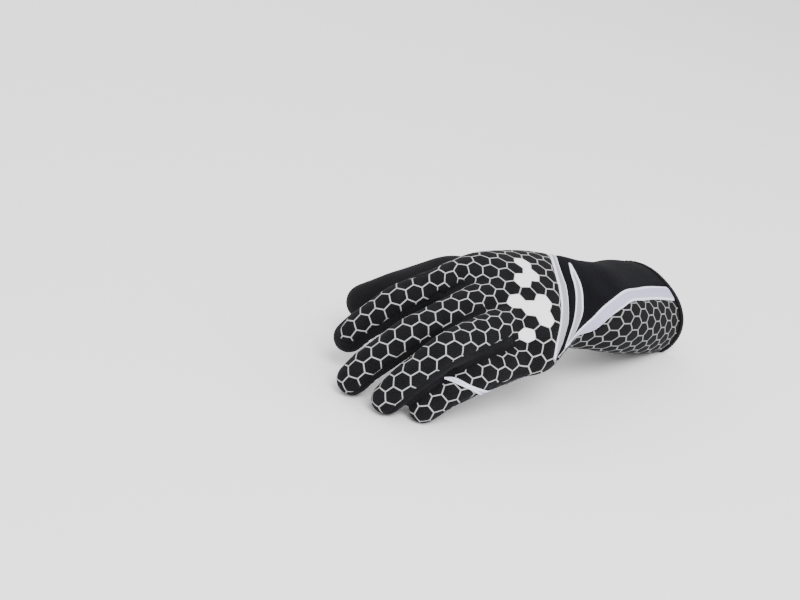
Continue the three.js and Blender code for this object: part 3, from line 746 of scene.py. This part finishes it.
def stitch_row(rows, lift, pitch=3.0, length=2.1, width=0.6):
    """Short threads along a line, one every pitch: each a thin rounded bar, six-sided, whose
    ends dip into the cloth by the square of the distance from its middle."""
    steps = np.linalg.norm(np.diff(rows[:, :3], axis=0), axis=1)
    travel = np.concatenate([[0], np.cumsum(steps)])
    at = np.arange(pitch / 2, travel[-1] - pitch / 2, pitch)

    def row(where):
        return np.stack([np.interp(where, travel, rows[:, k]) for k in range(6)], -1)

    middle, ahead, behind = row(at), row(at + length / 2), row(at - length / 2)
    along = ahead[:, :3] - behind[:, :3]
    reach = np.linalg.norm(along, axis=1, keepdims=True)
    keep = (reach[:, 0] < 1.3 * length) & (reach[:, 0] > 0.6 * length)
    along, middle = (along / np.maximum(reach, 1e-6))[keep], middle[keep]
    normal = middle[:, 3:]
    side = np.cross(normal, along)
    x = np.array([-1, -0.85, 0, 0.85, 1]) * length / 2
    radius = np.array([0.3, 0.85, 1, 0.85, 0.3]) * width / 2
    a = np.radians(np.arange(0, 360, 60))
    ring = np.stack([np.broadcast_to(x[:, None], (5, 6)), radius[:, None] * np.cos(a),
                     radius[:, None] * np.sin(a) - 0.35 * (x[:, None] / (length / 2)) ** 2], -1)
    bar, faces = tube(ring)
    frames = np.stack([along, side, normal], 1)
    points = middle[:, None, :3] + (bar + [0, 0, lift]) @ frames
    faces = faces[None] + np.arange(len(points))[:, None, None] * len(bar)
    return points.reshape(-1, 3), faces.reshape(-1, 3)


def stitched(name, parts, material):
    """One piece of several rows of stitches."""
    return finished(name, mesh_of(name, *join(parts)), material)


# Colours and materials


def linear(code):
    """An sRGB hex colour as linear red, green, blue and 1."""
    c = np.array([int(code[i:i + 2], 16) for i in (1, 3, 5)]) / 255
    return (*np.where(c <= 0.04045, c / 12.92, ((c + 0.055) / 1.055) ** 2.4), 1.0)


def add(tree, kind, *inputs, out=0, **settings):
    """Adds a node: settings go to its attributes, values, hex colours and links to its open inputs
    in order, with None for one that stays as it is. Mixes are of colours. Gives back one of its
    open outputs."""
    node = tree.nodes.new("ShaderNode" + kind)
    if kind == "Mix":
        node.data_type = "RGBA"
    for key, value in settings.items():
        setattr(node, key, value)
    for socket, value in zip([s for s in node.inputs if s.enabled], inputs):
        if isinstance(value, bpy.types.NodeSocket):
            tree.links.new(value, socket)
        elif value is not None:
            socket.default_value = linear(value) if isinstance(value, str) else value
    return [s for s in node.outputs if s.enabled][out]


def new_material(name, colour, roughness=0.9, sheen=0.0, specular=0.08):
    """A cloth's shader: rough, with a faint sheen, its values on the shader's own sockets."""
    material = bpy.data.materials.new(name)
    material.use_nodes = True
    tree = material.node_tree
    shader = tree.nodes["Principled BSDF"]
    for key, value in (("Base Color", linear(colour)), ("Roughness", roughness), ("Sheen Weight", sheen),
                       ("Sheen Roughness", 0.5), ("Sheen Tint", linear("#b0b0b8")),
                       ("Specular IOR Level", specular)):
        shader.inputs[key].default_value = value
    return material, tree, shader


def blend(tree, field, span, one, two):
    """Mixes two colours by a field: span has its values where the change starts and ends, and
    then the second colour's shares there if they aren't 0 and 1."""
    return add(tree, "Mix", add(tree, "MapRange", field, *span), one, two)


def dress(tree, shader, colour, height, depth, strength=1.0):
    """Links a cloth's colour and its relief, which is depth mm high, to its shader."""
    tree.links.new(colour, shader.inputs["Base Color"])
    tree.links.new(add(tree, "Bump", strength, depth * MM, None, height), shader.inputs["Normal"])


def twill(tree, place, pitch, turn):
    """Slanting ribs, 0 to 1: waves across the turned first axis, bent a little by noise."""
    spun = add(tree, "Mapping", place, None, (0.0, 0.0, np.radians(turn)))
    return add(tree, "TexWave", spun, 0.314 / pitch, 2.0, 2.0, 1.5, out=1)


def honeycomb(tree, place):
    """The distance from a cell's side, 0 on the printed line and 0.5 at the cell's centre, and
    the place of that centre. The two rectangular grids that make the honeycomb each give an
    offset to their nearest point, and the shorter offset wins."""
    half, below = (0.5, 3**0.5 / 2, 0.5), (-0.5, -(3**0.5) / 2, -0.5)
    one = add(tree, "VectorMath", place, half, below, operation="WRAP")
    moved = add(tree, "VectorMath", place, (0.5, 3**0.5 / 2, 0.0), operation="SUBTRACT")
    two = add(tree, "VectorMath", moved, half, below, operation="WRAP")
    nearer = add(tree, "Math", add(tree, "VectorMath", two, operation="LENGTH"),
                 add(tree, "VectorMath", one, operation="LENGTH"), operation="LESS_THAN")
    offset = add(tree, "Mix", nearer, one, two)
    centre = add(tree, "VectorMath", place, offset, operation="SUBTRACT")
    folded = add(tree, "VectorMath", offset, operation="ABSOLUTE")
    across = add(tree, "SeparateXYZ", folded)
    slant = add(tree, "VectorMath", folded, (0.5, 3**0.5 / 2, 0.0), operation="DOT_PRODUCT")
    side = add(tree, "Math", across, slant, operation="MAXIMUM")
    return add(tree, "Math", 0.5, side, operation="SUBTRACT"), centre


def solid_cells(skin, flat):
    """The solid cells' centres: the cell nearest to the first one's place, and steps from it along
    the rows (1, 0) and (1/2, root 3 / 2)."""
    away = np.hypot(skin["station"] - SOLID_CELL[0], (skin["angle"] - SOLID_CELL[1]) * 0.6)
    here = flat[np.argmin(away)]
    steps = np.array([[1, 0], [0.5, 3**0.5 / 2]])
    first = np.round(here @ np.linalg.inv(steps))
    return (first + np.array(SOLID_STEPS)) @ steps


def softshell(name, pattern, line_colour, solid=(), margin=1.2, sheen=0.04):
    """Printed softshell: matt stretch cloth with a thin, slightly raised silicone honeycomb. The
    print stops short of the finger seams, and some cells are solid."""
    look = bpy.context.scene.glove_colours
    pitch = pattern["pitch"]
    material, tree, shader = new_material(name, look.cloth, 0.9, sheen)
    place = add(tree, "UVMap", uv_map="cloth")
    away, centre = honeycomb(tree, place)
    half = look.line_width / 2
    line = add(tree, "MapRange", away, (half - 0.14) / pitch, (half + 0.14) / pitch, 1.0, 0.0)
    for x, y in solid:
        apart = add(tree, "VectorMath", centre, (float(x), float(y), 0.0), operation="DISTANCE")
        cell = add(tree, "Math", apart, 0.3, operation="LESS_THAN")
        cell = add(tree, "Math", cell, 2.0, operation="MULTIPLY")
        line = add(tree, "Math", line, cell, operation="MAXIMUM")
    if margin:
        inside = add(tree, "Attribute", attribute_name="margin", out=2)
        inside = add(tree, "MapRange", inside, margin - 0.2, margin + 0.2)
        line = add(tree, "Math", line, inside, operation="MULTIPLY")
    # Ribs of about 0.5 mm, drawn at 1.3 mm so that they show, broken by a grain of 0.9 mm
    ribs = twill(tree, place, 1.3 / pitch, 35)
    grain = add(tree, "TexNoise", place, pitch / 0.9, 2.0, 0.8)
    ribs = add(tree, "Math", ribs, 0.35, 0.5, operation="MULTIPLY_ADD")
    depth = add(tree, "Math", ribs, grain, operation="MULTIPLY")
    cloth = blend(tree, depth, (0.22, 0.5), look.cloth_dark, look.cloth)
    cloud = add(tree, "TexNoise", place, 0.9, 2.0, 0.5)
    cloth = blend(tree, cloud, (0.4, 0.75, 0.0, 0.35), cloth, look.cloth_worn)
    ink = blend(tree, line, (1.0, 2.0), line_colour, look.solid)
    raised = add(tree, "Math", line, 1.0, operation="MINIMUM")
    tree.links.new(add(tree, "MapRange", raised, 0.0, 1.0, 0.88, 0.5), shader.inputs["Roughness"])
    height = add(tree, "Math", depth, 0.6, raised, operation="MULTIPLY_ADD")
    dress(tree, shader, add(tree, "Mix", raised, cloth, ink), height, 0.25)
    return material


@lru_cache(None)
def plain_cloth(name, colour, dark, rib, depth, sheen=0.06):
    """Woven or knitted plain cloth: slanting ribs broken by grain, with slow cloudy shade changes."""
    material, tree, shader = new_material(name, colour, 0.9, sheen)
    ribs = twill(tree, add(tree, "UVMap", uv_map="cloth"), rib, 40)
    place = add(tree, "TexCoord", out=3)
    grain = add(tree, "TexNoise", place, 1 / (0.9 * MM), 2.0, 0.7)
    cloud = add(tree, "TexNoise", place, 1 / (14 * MM), 2.0, 0.5)
    shade = add(tree, "Math", ribs, grain, cloud, operation="MULTIPLY_ADD")
    dress(tree, shader, blend(tree, shade, (0.45, 1.1), dark, colour), shade, depth)
    return material


@lru_cache(None)
def lining():
    """Brushed tricot lining: plain dark knit with a soft short nap."""
    look = bpy.context.scene.glove_colours
    material, tree, shader = new_material("brushed_tricot_lining", look.lining, 0.95, 0.1)
    place = add(tree, "TexCoord", out=3)
    nap = add(tree, "TexNoise", place, 1 / (1.2 * MM), 3.0, 0.7)
    dress(tree, shader, blend(tree, nap, (0.35, 0.65), look.knit_dark, look.lining), nap, 0.2)
    return material


@lru_cache(None)
def stripe_tape(name, light, dark):
    """Reflective woven tape: a fine slanting twill with a lighter band along each edge."""
    look = bpy.context.scene.glove_colours
    material, tree, shader = new_material(name, light, 0.6, 0.0, 0.3)
    ribs = twill(tree, add(tree, "UVMap", uv_map="cloth"), 1.2, 55)
    place = add(tree, "TexCoord", out=3)
    grain = add(tree, "TexNoise", place, 1 / (1.2 * MM), 2.0, 0.7)
    shade = add(tree, "Math", ribs, grain, operation="MULTIPLY")
    band = blend(tree, shade, (0.0, 0.6), dark, light)
    edge = add(tree, "Attribute", attribute_name="edge", out=2)
    colour = blend(tree, edge, (1.5, 1.9, 1.0, 0.0), band, look.tape_edge)
    rise = add(tree, "MapRange", edge, 1.4, 1.7, 0.8, 0.0)
    dress(tree, shader, colour, add(tree, "Math", rise, shade, operation="ADD"), 0.15, 0.8)
    return material


@lru_cache(None)
def suede():
    """Grip suede: short heathered nap in two greys, cloudy where it has been stroked, and with
    painted shade along its edge, where the seam sinks it in."""
    look = bpy.context.scene.glove_colours
    material, tree, shader = new_material("grip_suede", look.suede, 0.95, 0.15)
    place = add(tree, "TexCoord", out=3)
    # A nap of about 0.5 mm, drawn at 1.1 mm so that its two greys show
    nap = add(tree, "TexNoise", place, 1 / (1.1 * MM), 1.5, 0.6)
    cloud = add(tree, "TexNoise", place, 1 / (12 * MM), 2.0, 0.5)
    colour = blend(tree, nap, (0.35, 0.65), look.suede_dark_nap_and_edge_shade, look.suede)
    colour = blend(tree, cloud, (0.45, 0.7, 0.0, 0.2), colour, look.suede_light)
    edge = add(tree, "Attribute", attribute_name="edge", out=2)
    # Painted shade: the dark nap colour is laid along the patch's edge, where the seam sinks it
    colour = blend(tree, edge, (0.3, 1.2, 0.7, 0.0), colour, look.suede_dark_nap_and_edge_shade)
    dress(tree, shader, colour, nap, 0.3)
    return material


@lru_cache(None)
def thread(name, colour):
    """Twisted polyester sewing thread: fine slanting plies with a slight shine."""
    material, tree, shader = new_material(name, colour, 0.55, 0.0, 0.3)
    place = add(tree, "TexCoord", out=3)
    plies = twill(tree, place, 0.4 * MM, 30)
    dim = tuple(0.6 * v for v in linear(colour)[:3]) + (1.0,)
    dress(tree, shader, add(tree, "Mix", plies, dim, colour), plies, 0.08, 0.6)
    return material


def length_property(name, description, default):
    return bpy.props.FloatProperty(name=name, description=description, default=default)


def colour_property(name, default):
    description = f"{name} as an sRGB hex colour"
    return bpy.props.StringProperty(name=name, description=description, default=default)


class GloveShape(bpy.types.PropertyGroup):
    voxel: length_property("Mesh size", "Edge of the skin's faces, in mm", 1.2)
    smoothing: bpy.props.IntProperty(
        name="Smoothing", description="Passes that round the finger forks", default=9)
    fold_depth: length_property("Fold depth", "Height of the soft folds, in mm", 0.7)
    wall: length_property("Cloth thickness", "Wall of the cloth, in mm", 1.4)
    seam_depth: length_property("Seam depth", "How far seams sink in, in mm", 0.7)


class GloveColours(bpy.types.PropertyGroup):
    line_width: length_property("Line width", "Width of the honeycomb's lines, in mm", 0.72)
    cloth: colour_property("Cloth", "#19191b")
    cloth_dark: colour_property("Cloth between threads", "#080809")
    cloth_worn: colour_property("Worn cloth", "#1e1e21")
    line: colour_property("Honeycomb line", "#ababab")
    # A darker copy of the honeycomb line: painted shade on the cuff's print
    line_cuff_painted_shade: colour_property("Honeycomb line on the cuff", "#909092")
    solid: colour_property("Solid cells", "#f2f2f4")
    knit: colour_property("Black stretch cloth", "#1b1b1d")
    knit_dark: colour_property("Black stretch cloth in shade", "#0d0d0f")
    cuff: colour_property("Cuff cloth", "#0d0d14")
    cuff_dark: colour_property("Cuff cloth in shade", "#060608")
    lining: colour_property("Lining", "#1a1a1d")
    tape: colour_property("Stripe tape", "#c0c0da")
    tape_dark: colour_property("Stripe tape between threads", "#a0a0be")
    tape_grey: colour_property("Wrist tape", "#a4a4ae")
    tape_grey_dark: colour_property("Wrist tape between threads", "#8f8f9a")
    tape_edge: colour_property("Stripe tape's edge", "#e6e6f6")
    suede: colour_property("Grip suede", "#77777e")
    # The dark nap's colour, also used as painted shade along the suede's sunken edge
    suede_dark_nap_and_edge_shade: colour_property("Grip suede's dark nap", "#3c3c42")
    suede_light: colour_property("Grip suede's light nap", "#8c8c92")
    binding: colour_property("Binding", "#101012")
    thread_grey: colour_property("Grey thread", "#a4a4aa")
    thread_black: colour_property("Black thread", "#202024")


class HandPanels(bpy.types.Operator):
    """Back of the hand, palm side and thumb"""
    bl_idname = "glove.hand_panels"
    bl_label = "Hand panels"

    def execute(self, context):
        look = context.scene.glove_colours
        skin, edge = cut("hand", "-thumb", "-under")
        flat = lattice(HAND_PRINT, *laid_flat(skin))
        printed = softshell("printed_softshell", HAND_PRINT, look.line, solid_cells(skin, flat))
        new_piece("hand_back_cloth", skin, edge, printed, "softshell", ["hand_back_panel"], flat=flat)
        knit = plain_cloth("black_stretch_knit", look.knit, look.knit_dark, 1.2, 0.2)
        under = cut("hand", "-thumb", "under")
        new_piece("hand_palm_cloth", *under, knit, "black_knit", ["hand_palm_panel"])
        new_piece("thumb_cloth", *cut("hand", "thumb"), knit, "black_knit", ["thumb_tube"])
        return {"FINISHED"}


class CuffPanels(bpy.types.Operator):
    """Smooth top panel and honeycomb side panel of the cuff"""
    bl_idname = "glove.cuff_panels"
    bl_label = "Cuff panels"

    def execute(self, context):
        look = context.scene.glove_colours
        smooth = plain_cloth("smooth_cuff_cloth", look.cuff, look.cuff_dark, 1.0, 0.12, sheen=0.0)
        top = cut("cuff", "mouth", "top")
        new_piece("cuff_top_cloth", *top, smooth, "cuff_cloth", ["cuff_top_panel"])
        # The print's lines are drawn darker here than on the hand: painted shade on the cuff
        printed = softshell("printed_cuff_softshell", CUFF_PRINT, look.line_cuff_painted_shade, margin=0.0, sheen=0.0)
        skin, edge = cut("cuff", "mouth", "side")
        new_piece("cuff_side_cloth", skin, edge, printed, "softshell", ["cuff_side_panel"],
                  flat=skin["cuff_flat"])
        return {"FINISHED"}


class Stripes(bpy.types.Operator):
    """Pale tapes at the wrist, on the cuff and across the little finger"""
    bl_idname = "glove.stripes"
    bl_label = "Stripes"

    def execute(self, context):
        look = context.scene.glove_colours
        pale = stripe_tape("pale_stripe_tape", look.tape, look.tape_dark)
        grey = stripe_tape("grey_stripe_tape", look.tape_grey, look.tape_grey_dark)
        sewn_in, laid_on = {}, {"lift": 0.45, "thickness": 0.4, "tuck": 0.0}
        for name, fields, node, tape, settings in (
                ("wrist_tape", ("-hand", "-cuff"), "wrist_stripe", grey, sewn_in),
                ("crescent_tape", ("cuff", "crescent"), "crescent_stripe", grey, laid_on),
                ("cuff_back_tape", ("cuff", "mouth", "swoosh"), "cuff_back_stripe", pale, sewn_in),
                ("cuff_palm_tape", ("cuff", "mouth", "palm_stripe"), "cuff_palm_stripe", pale, sewn_in),
                ("finger_tape", ("finger_stripe",), "little_finger_stripe", pale, laid_on)):
            new_piece(name, *cut(*fields), tape, "stripe_tape", [node], **settings)
        return {"FINISHED"}


class GripPatches(bpy.types.Operator):
    """Grey suede patches on the palm and thumb"""
    bl_idname = "glove.grip_patches"
    bl_label = "Grip patches"

    def execute(self, context):
        look = context.scene.glove_colours
        rows = []
        hand, thumb = ("station", "angle"), ("thumb_station", "thumb_angle")
        for name, fields, node, (along, around_it), middle in (
                ("palm_grip", ("heel_patch", "-thumb"), "palm_grip_patch", hand, (160, 258)),
                ("thumb_base_grip", ("thumb_base_patch",), "thumb_base_patch", thumb, (45, 263)),
                ("thumb_tip_grip", ("thumb_tip_patch",), "thumb_tip_patch", thumb, (100, 257))):
            skin, edge = cut(*fields)
            new_piece(name, skin, edge, suede(), "grip_suede", [node], lift=0.7, thickness=0.6, tuck=0.35)
            turn = np.arctan2((skin[around_it] - middle[1]) * 0.35, skin[along] - middle[0])
            rows.append(stitch_row(seam_line(skin, edge, 1.7, np.degrees(turn)), 0.75))
        stitched("grip_stitches", rows, thread("grey_thread", look.thread_grey))
        return {"FINISHED"}


class Binding(bpy.types.Operator):
    """Rolled binding round the cuff's open end"""
    bl_idname = "glove.binding"
    bl_label = "Binding"

    def execute(self, context):
        look = context.scene.glove_colours
        turns = np.arange(0, 360, 2.5)
        roll = np.radians(np.arange(0, 360, 20))
        # A flattened oval profile, 6.8 mm along the cuff and 2.8 mm thick, carried round the end
        station = 3.4 + 3.4 * power(np.cos(roll), 0.8)
        offset = -0.6 + 1.4 * power(np.sin(roll), 0.8)
        rings = np.stack([body_point(station[k], turns, offset[k]) for k in range(len(roll))], 1)
        # Where the floor flattens it, the profile keeps its thickness
        rings[..., 2] = np.maximum(rings[..., 2], offset.max() - offset)
        count, n = rings.shape[:2]
        i, j = np.meshgrid(np.arange(count), np.arange(n), indexing="ij")
        here, there, k = i * n, (i + 1) % count * n, (j + 1) % n
        faces = np.stack([here + j, here + k, there + k, there + j], -1).reshape(-1, 4)
        points = rings.reshape(-1, 3)
        if signed_volume(points, np.vstack([faces[:, :3], faces[:, [0, 2, 3]]])) < 0:
            faces = faces[:, ::-1]
        cloth = plain_cloth("rolled_binding", look.binding, look.cloth_dark, 0.8, 0.2)
        finished("cuff_binding", mesh_of("cuff_binding", points, faces), cloth, ["cuff_hem"])
        skin = glove_skin()
        rows = [stitch_row(seam_line(skin, skin["station"], HEM_WIDTH + 1.2, skin["angle"]), 0.75)]
        stitched("hem_stitches", rows, thread("black_thread", look.thread_black))
        return {"FINISHED"}


class Stage(bpy.types.Operator):
    """Pale floor, soft studio light and the camera"""
    bl_idname = "glove.stage"
    bl_label = "Stage"

    def execute(self, context):
        scene = context.scene
        floor_mesh = bpy.data.meshes.new("floor")
        far = 30.0
        corners = np.array([[-far, -far, 0], [far, -far, 0], [far, far, 0], [-far, far, 0]])
        fill_mesh(floor_mesh, corners, np.array([[0, 1, 2, 3]]))
        floor = bpy.data.objects.new("floor", floor_mesh)
        scene.collection.objects.link(floor)
        floor_mesh.materials.append(new_material("pale_floor", "#fafafa", 0.95)[0])
        world = bpy.data.worlds.new("studio")
        world.use_nodes = True
        world.node_tree.nodes["Background"].inputs["Color"].default_value = (1, 1, 1, 1)
        world.node_tree.nodes["Background"].inputs["Strength"].default_value = 1.35
        scene.world = world
        for name, place, size, energy in (("key", (-0.6, -0.9, 1.3), 0.9, 30),
                                          ("fill", (0.9, -0.7, 0.9), 1.2, 6),
                                          ("rim", (0.2, 1.1, 1.0), 1.2, 5)):
            lamp = bpy.data.lights.new(name, "AREA")
            lamp.shape, lamp.size, lamp.energy = "DISK", size, energy
            light = bpy.data.objects.new(name, lamp)
            light.location = place
            away = np.array(place) / np.linalg.norm(place)
            light.rotation_euler = (np.arccos(away[2]), 0, np.arctan2(away[1], away[0]) + np.pi / 2)
            scene.collection.objects.link(light)
        camera = bpy.data.objects.new("camera", bpy.data.cameras.new("camera"))
        camera.data.lens, camera.data.sensor_width = 85, 36
        azimuth, elevation, roll, distance = -46, 22, 13, 1.25
        aim = np.array([0.00963, 0.11103, -0.008])
        matrix = np.eye(4)
        matrix[:3, :3] = rotation("z", azimuth) @ rotation("x", 90 - elevation) @ rotation("z", roll)
        matrix[:3, 3] = aim + distance * matrix[:3, 2]
        camera.matrix_world = Matrix(matrix.tolist())
        camera.data.clip_start, camera.data.clip_end = 0.05, 60
        scene.collection.objects.link(camera)
        scene.camera = camera
        return {"FINISHED"}


class GlovePanel(bpy.types.Panel):
    """Lists the glove's operators and values"""
    bl_idname = "VIEW3D_PT_glove"
    bl_label = "Glove"
    bl_space_type = "VIEW_3D"
    bl_region_type = "UI"
    bl_category = "Glove"

    def draw(self, context):
        layout = self.layout
        for group in (context.scene.glove_shape, context.scene.glove_colours):
            for key in group.__annotations__:
                layout.prop(group, key)
        for operator in OPERATORS:
            layout.operator(operator.bl_idname)


OPERATORS = (HandPanels, CuffPanels, Stripes, GripPatches, Binding, Stage)
CLASSES = (GloveShape, GloveColours, *OPERATORS, GlovePanel)


def register():
    for cls in CLASSES:
        bpy.utils.register_class(cls)
    bpy.types.Scene.glove_shape = bpy.props.PointerProperty(type=GloveShape)
    bpy.types.Scene.glove_colours = bpy.props.PointerProperty(type=GloveColours)


def unregister():
    del bpy.types.Scene.glove_colours
    del bpy.types.Scene.glove_shape
    for cls in reversed(CLASSES):
        bpy.utils.unregister_class(cls)


def main():
    """Builds the glove and the stage."""
    register()
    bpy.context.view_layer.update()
    for operator in OPERATORS:
        group, name = operator.bl_idname.split(".")
        getattr(getattr(bpy.ops, group), name)()


if __name__ == "__main__":
    main()
